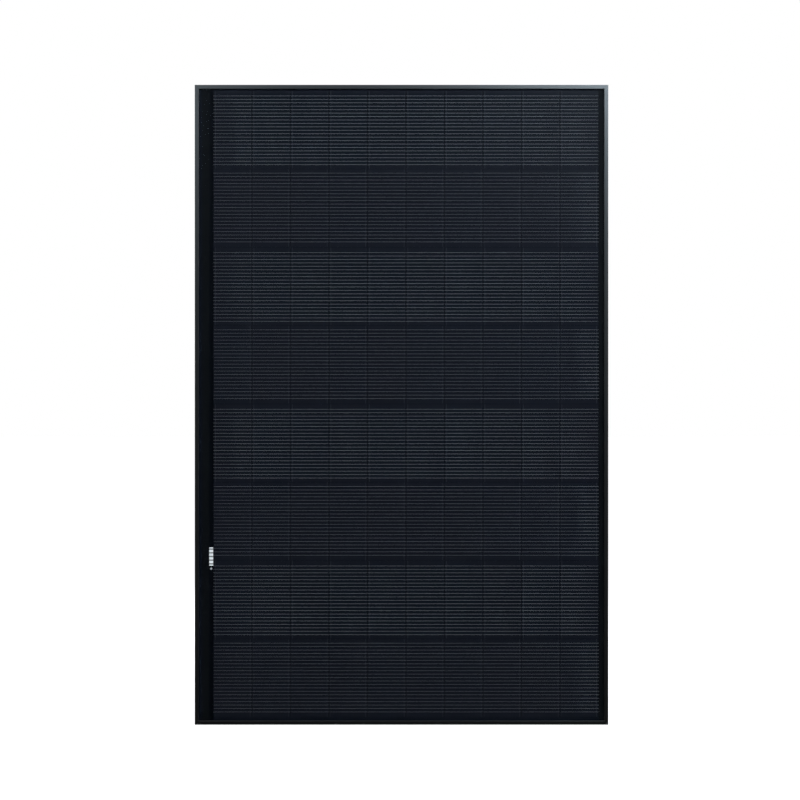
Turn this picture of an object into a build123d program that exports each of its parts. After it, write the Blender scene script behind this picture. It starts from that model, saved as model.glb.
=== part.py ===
from build123d import *

import math
import os

# A framed solar module, standing upright: X runs across, Z runs up, and the glass faces -Y.
# The origin is the centre of the rear mounting plane. A "level" is a height above that plane
# towards the glass, so a face at level h lies at y = -h. All sizes are in millimetres.

# Frame
module_width = 1118.0
module_height = 1730.0
frame_depth = 30.0
wall = 1.5
lip_width = 11.0
lip_thickness = 1.6
lip_bevel = 0.8
channel_floor_level = 22.6
channel_floor_thickness = 1.4
inner_wall_reach = 11.5
flange_width = 28.0
flange_thickness = 1.6
edge_round = 0.6

# Holes in the rear flanges
hole_line = 20.0
slot_width = 9.0
slot_length = 14.0
slot_spacing = 1100.0
tracker_hole = 7.0
tracker_spacing = 400.0
ground_hole = 5.5
ground_spacing = 1300.0
drain_slot_width = 5.0
drain_slot_length = 10.0
drain_from_corner = 60.0

# Corner keys
key_arm = 42.0
key_notch = 1.2
key_notch_pitch = 7.0
key_notches = 4
key_pocket_length = 22.0
key_pocket_width = 4.0

# Laminate, from the front lip inwards
lip_seal = 0.4
edge_gap = 2.5
glass_thickness = 3.2
glass_arris = 0.5
backsheet_thickness = 0.3
cover_film = 0.11
pocket_rim = 6.0

# Cells and wires
strings = 8
cells_per_string = 10
cell_width = 105.0
cell_height = 210.0
cell_corner = 1.4
cell_thickness = 0.15
cell_overlap = 0.8
string_gap = 2.0
field_left_margin = 49.8
field_top_margin = 15.6
wires_per_cell = 21
wire_size = 0.26
wire_pitch = 9.3
wire_shift = 1.5
wire_inset = 2.0
wire_slack = 0.005

# Bus ribbons, the films that cover them, and the labels
ribbon_width = 6.0
ribbon_thickness = 0.3
left_ribbon_from_edge = 29.5
right_ribbon_from_edge = 18.5
cover_thickness = 0.15
cover_height = 0.8
bus_cover_from_edge = 20.0
lead_cover_from_edge = 39.0
right_cover_from_edge = 12.0
cover_gap = 0.4
serial_width = 10.6
serial_height = 49.7
serial_from_edge = 44.1
serial_z = -410.5
dot_diameter = 6.0
dot_z = -443.5
label_thickness = 0.1
rating_width = 120.0
rating_height = 70.0
rating_x = -330.0
rating_z = 640.0

# Junction boxes
box_width = 44.0
box_height = 100.0
box_depth = 14.0
box_round = 6.0
box_wall = 2.0
box_floor = 1.8
box_from_edge = 52.0
skirt = 2.0
skirt_thickness = 1.5
glue_thickness = 1.0
window_width = 8.0
window_height = 40.0
tail_from_edge = 41.0
tail_offset = 12.0
tail_foot = 12.0
tail_slot = 1.8
post_height = 3.4
post_diameter = 4.0
post_spacing = 9.0
plate_width = 14.0
plate_height = 16.0
plate_thickness = 0.8
plate_offset = 14.0
diode_width = 14.0
diode_height = 10.0
diode_depth = 5.0
diode_offset = 1.0
diode_lead_width = 2.0
diode_lead_thickness = 0.5
diode_lead_span = 22.0
diode_lead_offset = 4.0
gasket_inset = 0.4
gasket_width = 1.2
gasket_thickness = 0.6
lid_thickness = 2.2
lid_round = 0.8
lid_lip = 1.6
lid_lip_depth = 3.0
lid_clearance = 0.1
latch_width = 8.0
latch_thickness = 1.4
latch_reach = 5.0
latch_spacing = 56.0
catch_height = 1.2
lid_ribs = 7
lid_rib_width = 1.2
lid_rib_height = 0.7
lid_rib_length = 60.0
lid_rib_pitch = 4.2

# Cable glands on the first and last junction boxes
boss_radius = 5.6
boss_length = 8.0
boss_bore = 3.9
cable_bore = 3.1
nut_across_flats = 14.0
nut_start = 2.2
nut_length = 12.0
seal_start = 1.0
seal_end = 12.0
seal_clearance = 0.1

# Support bars behind the laminate
bar_height = 22.0
bar_depth = 20.0
bar_wall = 1.5
bar_end_gap = 0.5
bar_z = 424.0
pad_length = 120.0
pad_height = 16.0
pad_count = 5
pad_pitch = 220.0
rivet_shank = 4.8
rivet_head = 8.0
rivet_head_depth = 1.0
rivet_tail = 6.6
rivet_tail_length = 1.9
rivet_spacing = 10.0

# Levels of the stacked layers
lip_level = frame_depth - lip_thickness
glass_front_level = lip_level - lip_seal
glass_back_level = glass_front_level - glass_thickness
cell_layer = 2 * cell_thickness + 3 * wire_size + 3 * wire_slack
cell_back_level = glass_back_level - cover_film - cell_layer
sheet_level = cell_back_level - cover_film
backsheet_level = sheet_level - backsheet_thickness
ribbon_level = cell_back_level + ribbon_thickness
cover_level = cell_back_level + cover_height
label_level = cover_level + cover_thickness

# The laminate, and the pocket that its front film leaves for the cells
laminate_width = module_width - 2 * (wall + edge_gap)
laminate_height = module_height - 2 * (wall + edge_gap)
pocket_width = laminate_width - 2 * pocket_rim
pocket_height = laminate_height - 2 * pocket_rim

# Every cell overlaps the next like a roof shingle, one wire apart, so the cells lean by this slope
cell_pitch = cell_width - cell_overlap
row_length = cells_per_string * cell_pitch + cell_overlap
slope = (cell_thickness + wire_size + 2 * wire_slack) / cell_pitch
string_pitch = cell_height + string_gap
left_edge = -module_width / 2
right_edge = module_width / 2
field_left = left_edge + field_left_margin
field_right = field_left + row_length
field_middle = (field_left + field_right) / 2
field_top = module_height / 2 - field_top_margin
field_bottom = field_top - strings * cell_height - (strings - 1) * string_gap
first_string_z = field_top - cell_height / 2
left_ribbon_x = left_edge + left_ribbon_from_edge
right_ribbon_x = right_edge - right_ribbon_from_edge
left_lead = field_middle - left_ribbon_x + ribbon_width / 3
right_lead = right_ribbon_x - field_middle + ribbon_width / 3

# The junction boxes sit over the seam inside each pair of strings
box_x = left_edge + box_from_edge
box_seams = [first_string_z - string_pitch * (pair + 0.5) for pair in range(0, strings, 2)]
box_back_level = backsheet_level - glue_thickness
box_rim_level = box_back_level - box_depth
floor_level = box_back_level - box_floor
plate_level = floor_level - post_height
foot_level = plate_level - plate_thickness
lid_level = box_rim_level - gasket_thickness
gland_level = box_back_level - box_depth / 2
tail_x = left_edge + tail_from_edge
plate_x = tail_x + tail_foot
plate_heights = [seam + side * plate_offset for seam in box_seams for side in (1, -1)]

os.makedirs("parts", exist_ok=True)


def at_level(level):
    """The plane at this level. Its x and y are the module's X and Z, and it faces the front."""
    return Plane.XZ.offset(level)


def shingle_plane(x, level, z=0.0):
    """The plane of a leaning cell or wire: x along the string, y up, facing the front."""
    return Plane(origin=(x, -level, z), x_dir=(1, -slope, 0), z_dir=(-slope, -1, 0))


# --- Frame rails: one hollow section, mitred at both ends ----------------------------------------
# In the section, x runs inwards from the outer face and y from the mounting plane to the lip.
with BuildSketch() as rail_section:
    with BuildLine():
        Polyline(
            (0, 0),
            (flange_width, 0),
            (flange_width, flange_thickness),
            (inner_wall_reach, flange_thickness),
            (inner_wall_reach, channel_floor_level),
            (wall, channel_floor_level),
            (wall, lip_level),
            (lip_width, lip_level),
            (lip_width, frame_depth - lip_bevel),
            (lip_width - lip_bevel, frame_depth),
            (0, frame_depth),
            close=True,
        )
    make_face()
    fillet(rail_section.vertices().group_by(Axis.X)[0], radius=edge_round)
    with Locations((inner_wall_reach / 2, flange_thickness)):
        Rectangle(
            inner_wall_reach - 2 * wall,
            channel_floor_level - channel_floor_thickness - flange_thickness,
            align=(Align.CENTER, Align.MIN),
            mode=Mode.SUBTRACT,
        )


def mitred_rail(outer_face, inward, length):
    """A rail centred on outer_face and cut at 45 degrees through the frame's two corners."""
    along = inward.cross(Vector(0, -1, 0))
    with BuildPart() as rail:
        with BuildSketch(Plane(outer_face - along * (length / 2), x_dir=inward, z_dir=along)):
            add(rail_section.sketch)
        extrude(amount=length)
        for end in (-1, 1):
            corner = outer_face + along * (end * length / 2)
            split(bisect_by=Plane(corner, z_dir=-inward - along * end), keep=Keep.TOP)
    return rail.part


rivet_angle = 2 * math.degrees(math.atan((rivet_head - rivet_shank) / 2 / rivet_head_depth))
for side, label in ((-1, "frame_rail_left"), (1, "frame_rail_right")):
    blank = mitred_rail(Vector(side * right_edge, 0, 0), Vector(-side, 0, 0), module_height)
    hole_x = side * (right_edge - hole_line)
    with BuildPart() as side_rail:
        add(blank)
        with BuildSketch(at_level(0)):
            with Locations((hole_x, 0)):
                with GridLocations(1, slot_spacing, 1, 2):
                    SlotOverall(slot_length, slot_width, rotation=90)
                with GridLocations(1, tracker_spacing, 1, 2):
                    Circle(tracker_hole / 2)
                with GridLocations(1, ground_spacing, 1, 2):
                    Circle(ground_hole / 2)
        extrude(amount=flange_thickness, mode=Mode.SUBTRACT)
        for bar in (-1, 1):
            for rivet in (-0.5, 0.5):
                rivet_z = bar * bar_z + rivet * rivet_spacing
                with Locations(Plane((hole_x, 0, rivet_z), z_dir=(0, 1, 0))):
                    CounterSinkHole(rivet_shank / 2, rivet_head / 2, flange_thickness, rivet_angle)
    side_rail.part.label = label
    export_step(side_rail.part, f"parts/{label}.step")

for side, label in ((1, "frame_rail_top"), (-1, "frame_rail_bottom")):
    blank = mitred_rail(Vector(0, 0, side * module_height / 2), Vector(0, 0, -side), module_width)
    with BuildPart() as end_rail:
        add(blank)
        with BuildSketch(at_level(0)):
            with Locations((0, side * (module_height / 2 - hole_line))):
                with GridLocations(module_width - 2 * drain_from_corner, 1, 2, 1):
                    SlotOverall(drain_slot_length, drain_slot_width)
        extrude(amount=flange_thickness, mode=Mode.SUBTRACT)
    end_rail.part.label = label
    export_step(end_rail.part, f"parts/{label}.step")

# --- Corner keys: notched angles pressed into the hollow rails -----------------------------------
key_width = inner_wall_reach - 2 * wall
key_depth = channel_floor_level - channel_floor_thickness - flange_thickness
with BuildPart() as corner_key:
    with BuildSketch(at_level(flange_thickness)):
        with Locations((wall, wall)):
            Rectangle(key_arm, key_width, align=(Align.MIN, Align.MIN))
            Rectangle(key_width, key_arm, align=(Align.MIN, Align.MIN))
        # The rails are crimped into these notches on the inner side of each arm
        for notch in range(key_notches):
            reach = wall + key_width + key_notch_pitch * (notch + 1)
            with Locations((reach, wall + key_width), (wall + key_width, reach)):
                Rectangle(key_notch, key_notch, rotation=45, mode=Mode.SUBTRACT)
    extrude(amount=key_depth)
    with BuildSketch(at_level(flange_thickness)):
        with Locations((wall + key_width * 1.5, wall + key_width / 2)):
            Rectangle(key_pocket_length, key_pocket_width, align=(Align.MIN, Align.CENTER))
        with Locations((wall + key_width / 2, wall + key_width * 1.5)):
            Rectangle(key_pocket_width, key_pocket_length, align=(Align.CENTER, Align.MIN))
    extrude(amount=key_depth - key_pocket_width, mode=Mode.SUBTRACT)

frame_corners = (
    ("corner_key_bottom_left", -1, -1, 0),
    ("corner_key_top_left", -1, 1, 90),
    ("corner_key_top_right", 1, 1, 180),
    ("corner_key_bottom_right", 1, -1, 270),
)
for label, side, end, turn in frame_corners:
    with BuildPart() as placed_key:
        with Locations(Location((side * right_edge, 0, end * module_height / 2), (0, turn, 0))):
            add(corner_key.part)
    placed_key.part.label = label
    export_step(placed_key.part, f"parts/{label}.step")

# --- Edge seal: silicone that fills the channel round the laminate -------------------------------
with BuildPart() as edge_seal:
    with BuildSketch(at_level(channel_floor_level)):
        Rectangle(module_width - 2 * wall, module_height - 2 * wall)
        Rectangle(
            module_width - 2 * inner_wall_reach,
            module_height - 2 * inner_wall_reach,
            mode=Mode.SUBTRACT,
        )
    extrude(amount=lip_level - channel_floor_level)
    with BuildSketch(at_level(backsheet_level)):
        Rectangle(laminate_width, laminate_height)
    extrude(amount=glass_front_level - backsheet_level, mode=Mode.SUBTRACT)
    with BuildSketch(at_level(glass_front_level)):
        Rectangle(module_width - 2 * lip_width, module_height - 2 * lip_width)
    extrude(amount=lip_seal, mode=Mode.SUBTRACT)
edge_seal.part.label = "edge_seal"
export_step(edge_seal.part, "parts/edge_seal.step")

# --- Laminate: glass, two encapsulant films and the backsheet ------------------------------------
with BuildPart() as front_glass:
    with BuildSketch(at_level(glass_back_level)):
        Rectangle(laminate_width, laminate_height)
    extrude(amount=glass_thickness)
    chamfer(front_glass.faces().sort_by(Axis.Y)[0].edges(), length=glass_arris)
front_glass.part.label = "front_glass"
export_step(front_glass.part, "parts/front_glass.step")

with BuildPart() as front_encapsulant:
    with BuildSketch(at_level(cell_back_level)):
        Rectangle(laminate_width, laminate_height)
    extrude(amount=cell_layer + cover_film)
    with BuildSketch(at_level(cell_back_level)):
        Rectangle(pocket_width, pocket_height)
    extrude(amount=cell_layer, mode=Mode.SUBTRACT)
front_encapsulant.part.label = "front_encapsulant"
export_step(front_encapsulant.part, "parts/front_encapsulant.step")

rear_sheets = (
    ("rear_encapsulant", sheet_level, cover_film),
    ("backsheet", backsheet_level, backsheet_thickness),
)
for label, back, thickness in rear_sheets:
    with BuildPart() as rear_sheet:
        with BuildSketch(at_level(back)):
            Rectangle(laminate_width, laminate_height)
            # Slots where the ribbon tails pass through to the junction boxes
            for seam in box_seams:
                with Locations((tail_x, seam)):
                    with GridLocations(1, 2 * tail_offset, 1, 2):
                        Rectangle(tail_slot, ribbon_width + tail_slot, mode=Mode.SUBTRACT)
        extrude(amount=thickness)
    rear_sheet.part.label = label
    export_step(rear_sheet.part, f"parts/{label}.step")

# --- Cells: one string of ten leaning half-cells, placed eight times ------------------------------
with BuildPart() as cell_row:
    for cell in range(cells_per_string):
        middle = (cell - (cells_per_string - 1) / 2) * cell_pitch
        level = cell_back_level + wire_size + wire_slack + slope * cell_width / 2
        with BuildSketch(shingle_plane(middle, level)) as cell_outline:
            Rectangle(cell_width, cell_height)
            chamfer(cell_outline.vertices().group_by(Axis.X)[0], length=cell_corner)
        extrude(amount=cell_thickness)


# --- Wires: each straight set runs behind one cell and in front of the next -----------------------
def wire_row(first_lead, last_lead):
    """The wires of one string, reaching this far from its middle to the ribbons at both ends."""
    with BuildPart() as wires:
        for joint in range(cells_per_string + 1):
            seam_x = joint * cell_pitch - row_length / 2
            start = seam_x - cell_pitch + wire_inset
            end = seam_x + cell_width - wire_inset
            if joint == 0:
                start = -first_lead
            if joint == cells_per_string:
                end = last_lead
            middle = (start + end) / 2
            level = cell_back_level + slope * (middle - seam_x + cell_pitch)
            with BuildSketch(shingle_plane(middle, level, -wire_shift)):
                with GridLocations(1, wire_pitch, 1, wires_per_cell):
                    Rectangle(end - start, wire_size)
            extrude(amount=wire_size, clean=False)
    return wires.part


# Every second string is turned round, so that the current runs back and forth down the module
wire_rows = (wire_row(left_lead, right_lead), wire_row(right_lead, left_lead))
for row in range(strings):
    turned = row % 2
    place = Location((field_middle, 0, first_string_z - row * string_pitch), (0, 180 * turned, 0))
    with BuildPart() as cell_string:
        with Locations(place):
            add(cell_row.part)
    cell_string.part.label = f"cell_string_{row + 1}"
    export_step(cell_string.part, f"parts/cell_string_{row + 1}.step")
    with BuildPart() as wire_string:
        with Locations(place):
            add(wire_rows[turned], clean=False)
    wire_string.part.label = f"wire_string_{row + 1}"
    export_step(wire_string.part, f"parts/wire_string_{row + 1}.step")

# --- Bus ribbons: they join the strings at both sides ---------------------------------------------
segment_tops = [field_top] + [seam - tail_offset for seam in box_seams]
segment_bottoms = [seam + tail_offset for seam in box_seams] + [field_bottom]
with BuildPart() as bus_ribbons_left:
    with BuildSketch(at_level(cell_back_level)):
        for top, bottom in zip(segment_tops, segment_bottoms):
            with Locations((left_ribbon_x, (top + bottom) / 2)):
                Rectangle(ribbon_width, top - bottom + ribbon_width / 2)
    extrude(amount=ribbon_thickness)
    # Tails: across to the slot, back through the sheets and onto the terminal plate
    for tail_z in segment_tops[1:] + segment_bottoms[:-1]:
        with BuildSketch(Plane.XY.offset(tail_z - ribbon_width / 2)):
            with Locations((left_ribbon_x, -cell_back_level)):
                Rectangle(tail_x - left_ribbon_x, ribbon_thickness, align=(Align.MIN, Align.MAX))
            with Locations((tail_x, -ribbon_level)):
                Rectangle(
                    ribbon_thickness,
                    ribbon_level - foot_level + ribbon_thickness,
                    align=(Align.CENTER, Align.MIN),
                )
            with Locations((tail_x, -foot_level)):
                Rectangle(tail_foot, ribbon_thickness, align=(Align.MIN, Align.MIN))
        extrude(amount=ribbon_width)
bus_ribbons_left.part.label = "bus_ribbons_left"
export_step(bus_ribbons_left.part, "parts/bus_ribbons_left.step")

with BuildPart() as bus_ribbons_right:
    with BuildSketch(at_level(cell_back_level)):
        for seam in box_seams:
            with Locations((right_ribbon_x, seam)):
                Rectangle(ribbon_width, 2 * cell_height)
    extrude(amount=ribbon_thickness)
bus_ribbons_right.part.label = "bus_ribbons_right"
export_step(bus_ribbons_right.part, "parts/bus_ribbons_right.step")

# --- Black films over the ribbons, and the labels under the glass ---------------------------------
cover_strips = (
    ("bus_cover_strip_left", left_edge + bus_cover_from_edge, left_edge + lead_cover_from_edge),
    ("lead_cover_strip", left_edge + lead_cover_from_edge, field_left - cover_gap),
    ("bus_cover_strip_right", field_right + cover_gap, right_edge - right_cover_from_edge),
)
for label, start, end in cover_strips:
    with BuildPart() as cover_strip:
        with BuildSketch(at_level(cover_level)):
            with Locations(((start + end) / 2, 0)):
                Rectangle(end - start, pocket_height - 2 * cover_gap)
        extrude(amount=cover_thickness)
    cover_strip.part.label = label
    export_step(cover_strip.part, f"parts/{label}.step")

with BuildPart() as serial_label:
    with BuildSketch(at_level(label_level)):
        with Locations((left_edge + serial_from_edge, serial_z)):
            Rectangle(serial_width, serial_height)
    extrude(amount=label_thickness)
serial_label.part.label = "serial_label"
export_step(serial_label.part, "parts/serial_label.step")

with BuildPart() as inspection_dot:
    with BuildSketch(at_level(label_level)):
        with Locations((left_edge + serial_from_edge, dot_z)):
            Circle(dot_diameter / 2)
    extrude(amount=label_thickness)
inspection_dot.part.label = "inspection_dot"
export_step(inspection_dot.part, "parts/inspection_dot.step")

with BuildPart() as rating_label:
    with BuildSketch(at_level(backsheet_level)):
        with Locations((rating_x, rating_z)):
            Rectangle(rating_width, rating_height)
    extrude(amount=-label_thickness)
rating_label.part.label = "rating_label"
export_step(rating_label.part, "parts/rating_label.step")

# --- Junction boxes: four shells glued to the backsheet, each with a bypass diode -----------------
inner_width = box_width - 2 * box_wall
inner_height = box_height - 2 * box_wall
inner_round = box_round - box_wall
latch_x = box_width / 2 + latch_thickness / 2
for number, seam in enumerate(box_seams, start=1):
    # The cables leave the first box downwards and the last box upwards
    gland_side = {1: -1, len(box_seams): 1}.get(number, 0)
    gland_z = seam + gland_side * box_height / 2
    with BuildPart() as box_base:
        with BuildSketch(at_level(box_back_level)):
            with Locations((box_x, seam)):
                RectangleRounded(box_width + 2 * skirt, box_height + 2 * skirt, box_round)
        extrude(amount=-skirt_thickness)
        with BuildSketch(at_level(box_back_level)):
            with Locations((box_x, seam)):
                RectangleRounded(box_width, box_height, box_round)
        extrude(amount=-box_depth)
        if gland_side:
            with BuildSketch(Plane((box_x, -gland_level, gland_z), z_dir=(0, 0, gland_side))):
                Circle(boss_radius)
            extrude(amount=boss_length)
        with BuildSketch(at_level(floor_level)):
            with Locations((box_x, seam)):
                RectangleRounded(inner_width, inner_height, inner_round)
        extrude(amount=box_rim_level - floor_level, mode=Mode.SUBTRACT)
        with BuildSketch(at_level(box_back_level)):
            with Locations((tail_x, seam)):
                Rectangle(window_width, window_height)
        extrude(amount=-box_floor, mode=Mode.SUBTRACT)
        with BuildSketch(at_level(floor_level)):
            with Locations((plate_x, seam - plate_offset), (plate_x, seam + plate_offset)):
                with GridLocations(1, post_spacing, 1, 2):
                    Circle(post_diameter / 2)
        extrude(amount=-post_height)
        # Catches that the lid's latches push past
        with BuildSketch(at_level(box_rim_level + latch_reach)):
            with Locations((box_x, seam)):
                with GridLocations(2 * latch_x, latch_spacing, 2, 2):
                    Rectangle(latch_thickness, latch_width)
        extrude(amount=catch_height)
        if gland_side:
            with BuildSketch(Plane((box_x, -gland_level, gland_z), z_dir=(0, 0, gland_side))):
                Circle(boss_bore)
            extrude(amount=boss_length, both=True, mode=Mode.SUBTRACT)
    box_base.part.label = f"junction_box_{number}_base"
    export_step(box_base.part, f"parts/junction_box_{number}_base.step")

    with BuildPart() as box_lid:
        with BuildSketch(at_level(lid_level)):
            with Locations((box_x, seam)):
                RectangleRounded(box_width, box_height, box_round)
        extrude(amount=-lid_thickness)
        fillet(box_lid.faces().sort_by(Axis.Y)[-1].edges(), radius=lid_round)
        with BuildSketch(at_level(lid_level)):
            with Locations((box_x, seam)):
                RectangleRounded(
                    inner_width - 2 * lid_clearance, inner_height - 2 * lid_clearance, inner_round
                )
                RectangleRounded(
                    inner_width - 2 * lid_lip,
                    inner_height - 2 * lid_lip,
                    inner_round - lid_lip,
                    mode=Mode.SUBTRACT,
                )
        extrude(amount=gasket_thickness + lid_lip_depth)
        with BuildSketch(at_level(lid_level - lid_thickness / 2)):
            with Locations((box_x, seam)):
                with GridLocations(2 * latch_x, latch_spacing, 2, 2):
                    Rectangle(latch_thickness, latch_width)
        extrude(amount=lid_thickness / 2 + gasket_thickness + latch_reach)
        with BuildSketch(at_level(lid_level - lid_thickness)):
            with Locations((box_x, seam)):
                with GridLocations(lid_rib_pitch, 1, lid_ribs, 1):
                    SlotOverall(lid_rib_length, lid_rib_width, rotation=90)
        extrude(amount=-lid_rib_height)
    box_lid.part.label = f"junction_box_{number}_lid"
    export_step(box_lid.part, f"parts/junction_box_{number}_lid.step")

    with BuildPart() as bypass_diode:
        with BuildSketch(at_level(foot_level)):
            with Locations((plate_x + diode_offset, seam)):
                Rectangle(diode_width, diode_height)
        extrude(amount=-diode_depth)
        body_edges = bypass_diode.faces().sort_by(Axis.Y)[-1].edges()
        chamfer(body_edges, length=diode_lead_thickness)
        with BuildSketch(at_level(foot_level)):
            with Locations((plate_x + diode_lead_offset, seam)):
                Rectangle(diode_lead_width, diode_lead_span)
        extrude(amount=-diode_lead_thickness)
    bypass_diode.part.label = f"bypass_diode_{number}"
    export_step(bypass_diode.part, f"parts/bypass_diode_{number}.step")

with BuildPart() as terminal_plates:
    with BuildSketch(at_level(plate_level)):
        with Locations(*[(plate_x, plate_z) for plate_z in plate_heights]):
            Rectangle(plate_width, plate_height)
    extrude(amount=-plate_thickness)
terminal_plates.part.label = "terminal_plates"
export_step(terminal_plates.part, "parts/terminal_plates.step")

gasket_inner = gasket_inset + gasket_width
with BuildPart() as lid_gaskets:
    with BuildSketch(at_level(lid_level)):
        with Locations(*[(box_x, seam) for seam in box_seams]):
            RectangleRounded(
                box_width - 2 * gasket_inset, box_height - 2 * gasket_inset, box_round - gasket_inset
            )
            RectangleRounded(
                box_width - 2 * gasket_inner,
                box_height - 2 * gasket_inner,
                box_round - gasket_inner,
                mode=Mode.SUBTRACT,
            )
    extrude(amount=gasket_thickness)
lid_gaskets.part.label = "lid_gaskets"
export_step(lid_gaskets.part, "parts/lid_gaskets.step")

with BuildPart() as junction_box_glue:
    with BuildSketch(at_level(box_back_level)):
        with Locations(*[(box_x, seam) for seam in box_seams]):
            RectangleRounded(box_width, box_height, box_round)
        with Locations(*[(tail_x, seam) for seam in box_seams]):
            Rectangle(window_width, window_height, mode=Mode.SUBTRACT)
    extrude(amount=glue_thickness)
junction_box_glue.part.label = "junction_box_glue"
export_step(junction_box_glue.part, "parts/junction_box_glue.step")

# --- Cable glands: a nut and a seal on each outer box ---------------------------------------------
gland_planes = [
    Plane((box_x, -gland_level, box_seams[0] - box_height / 2), x_dir=(1, 0, 0), z_dir=(0, 0, -1)),
    Plane((box_x, -gland_level, box_seams[-1] + box_height / 2), x_dir=(1, 0, 0), z_dir=(0, 0, 1)),
]
with BuildPart() as gland_nuts:
    for gland in gland_planes:
        with BuildSketch(gland.offset(nut_start)):
            RegularPolygon(nut_across_flats / 2, 6, major_radius=False)
        extrude(amount=nut_length)
    for gland in gland_planes:
        with BuildSketch(gland.offset(nut_start)):
            Circle(boss_radius)
        extrude(amount=boss_length - nut_start, mode=Mode.SUBTRACT)
        with BuildSketch(gland.offset(boss_length)):
            Circle(boss_bore + seal_clearance)
        extrude(amount=seal_end - boss_length, mode=Mode.SUBTRACT)
        with BuildSketch(gland.offset(seal_end)):
            Circle(cable_bore)
        extrude(amount=nut_start + nut_length - seal_end, mode=Mode.SUBTRACT)
gland_nuts.part.label = "gland_nuts"
export_step(gland_nuts.part, "parts/gland_nuts.step")

with BuildPart() as gland_seals:
    for gland in gland_planes:
        with BuildSketch(gland.offset(seal_start)):
            Circle(boss_bore)
            Circle(cable_bore, mode=Mode.SUBTRACT)
        extrude(amount=seal_end - seal_start)
gland_seals.part.label = "gland_seals"
export_step(gland_seals.part, "parts/gland_seals.step")

# --- Support bars: two tubes across the back, riveted to the side rails ---------------------------
bar_length = module_width - 2 * (inner_wall_reach + bar_end_gap)
bar_middle_level = flange_thickness + bar_depth / 2
bar_front_level = flange_thickness + bar_depth
rivet_x = right_edge - hole_line
for end, label in ((1, "support_bar_upper"), (-1, "support_bar_lower")):
    with BuildPart() as support_bar:
        with BuildSketch(Plane.YZ.offset(-bar_length / 2)):
            with Locations((-bar_middle_level, end * bar_z)):
                Rectangle(bar_depth, bar_height)
                Rectangle(bar_depth - 2 * bar_wall, bar_height - 2 * bar_wall, mode=Mode.SUBTRACT)
        extrude(amount=bar_length)
        with BuildSketch(at_level(flange_thickness)):
            with Locations((0, end * bar_z)):
                with GridLocations(2 * rivet_x, rivet_spacing, 2, 2):
                    Circle(rivet_shank / 2)
        extrude(amount=bar_wall, mode=Mode.SUBTRACT)
    support_bar.part.label = label
    export_step(support_bar.part, f"parts/{label}.step")

with BuildPart() as support_bar_pads:
    with BuildSketch(at_level(bar_front_level)):
        with GridLocations(pad_pitch, 2 * bar_z, pad_count, 2):
            Rectangle(pad_length, pad_height)
    extrude(amount=backsheet_level - bar_front_level)
support_bar_pads.part.label = "support_bar_pads"
export_step(support_bar_pads.part, "parts/support_bar_pads.step")

# One rivet turned from its half outline, then set in all eight holes
with BuildPart() as rivet:
    with BuildSketch(Plane.XZ):
        with BuildLine():
            Polyline(
                (0, 0),
                (rivet_head / 2, 0),
                (rivet_shank / 2, rivet_head_depth),
                (rivet_shank / 2, flange_thickness + bar_wall),
                (rivet_tail / 2, flange_thickness + bar_wall),
                (rivet_tail / 2, flange_thickness + bar_wall + rivet_tail_length),
                (0, flange_thickness + bar_wall + rivet_tail_length),
                close=True,
            )
        make_face()
    revolve(axis=Axis.Z)

with BuildPart() as support_bar_rivets:
    with Locations(Plane.XZ):
        with GridLocations(2 * rivet_x, 2 * bar_z, 2, 2):
            with GridLocations(1, rivet_spacing, 1, 2):
                add(rivet.part)
support_bar_rivets.part.label = "support_bar_rivets"
export_step(support_bar_rivets.part, "parts/support_bar_rivets.step")
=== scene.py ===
# %% [markdown] # A black framed solar panel The panel is finished as a CAD model: every rail, cell,
# film, box and rivet is a solid in its true place. This lesson loads those solids, gives each one the
# surface of the real thing, and remakes the few pieces whose look depends on finer shape: the glass,
# the wires, and the parts with soft edges.

import math

import bmesh
import bpy
from mathutils import Matrix, Vector


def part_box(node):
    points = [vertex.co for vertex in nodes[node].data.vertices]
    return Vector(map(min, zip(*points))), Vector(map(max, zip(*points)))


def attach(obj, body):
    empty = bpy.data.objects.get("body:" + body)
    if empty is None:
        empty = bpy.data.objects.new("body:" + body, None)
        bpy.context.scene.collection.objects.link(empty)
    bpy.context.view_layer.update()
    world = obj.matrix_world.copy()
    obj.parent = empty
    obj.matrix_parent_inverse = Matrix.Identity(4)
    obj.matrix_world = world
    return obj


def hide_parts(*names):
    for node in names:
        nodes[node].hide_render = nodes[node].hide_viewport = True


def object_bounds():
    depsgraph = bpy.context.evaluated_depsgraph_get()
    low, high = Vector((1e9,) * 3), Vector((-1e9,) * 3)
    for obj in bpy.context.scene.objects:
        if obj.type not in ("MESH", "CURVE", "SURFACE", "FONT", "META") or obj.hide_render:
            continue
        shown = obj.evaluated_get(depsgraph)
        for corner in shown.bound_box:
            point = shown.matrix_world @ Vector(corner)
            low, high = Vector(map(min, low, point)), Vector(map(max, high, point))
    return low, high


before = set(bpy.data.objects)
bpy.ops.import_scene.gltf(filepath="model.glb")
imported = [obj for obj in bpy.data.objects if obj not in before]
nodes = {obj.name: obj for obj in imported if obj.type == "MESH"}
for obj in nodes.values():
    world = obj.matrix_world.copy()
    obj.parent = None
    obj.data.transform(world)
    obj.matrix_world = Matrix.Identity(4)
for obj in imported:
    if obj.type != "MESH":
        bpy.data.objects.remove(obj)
cad_low, cad_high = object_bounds()
MM = 0.001
print("solids:", len(nodes), "box:", [round(side, 4) for side in cad_high - cad_low])

# %% [markdown]
# A finish is a small graph of shader nodes. Three helpers keep the graphs short: one adds any node and
# fills or links its inputs, one does a single sum, and one mixes two colours. A value that is the
# same all over a surface is typed straight into the shader's own socket, because that is how it
# survives an export to other programs.


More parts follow.
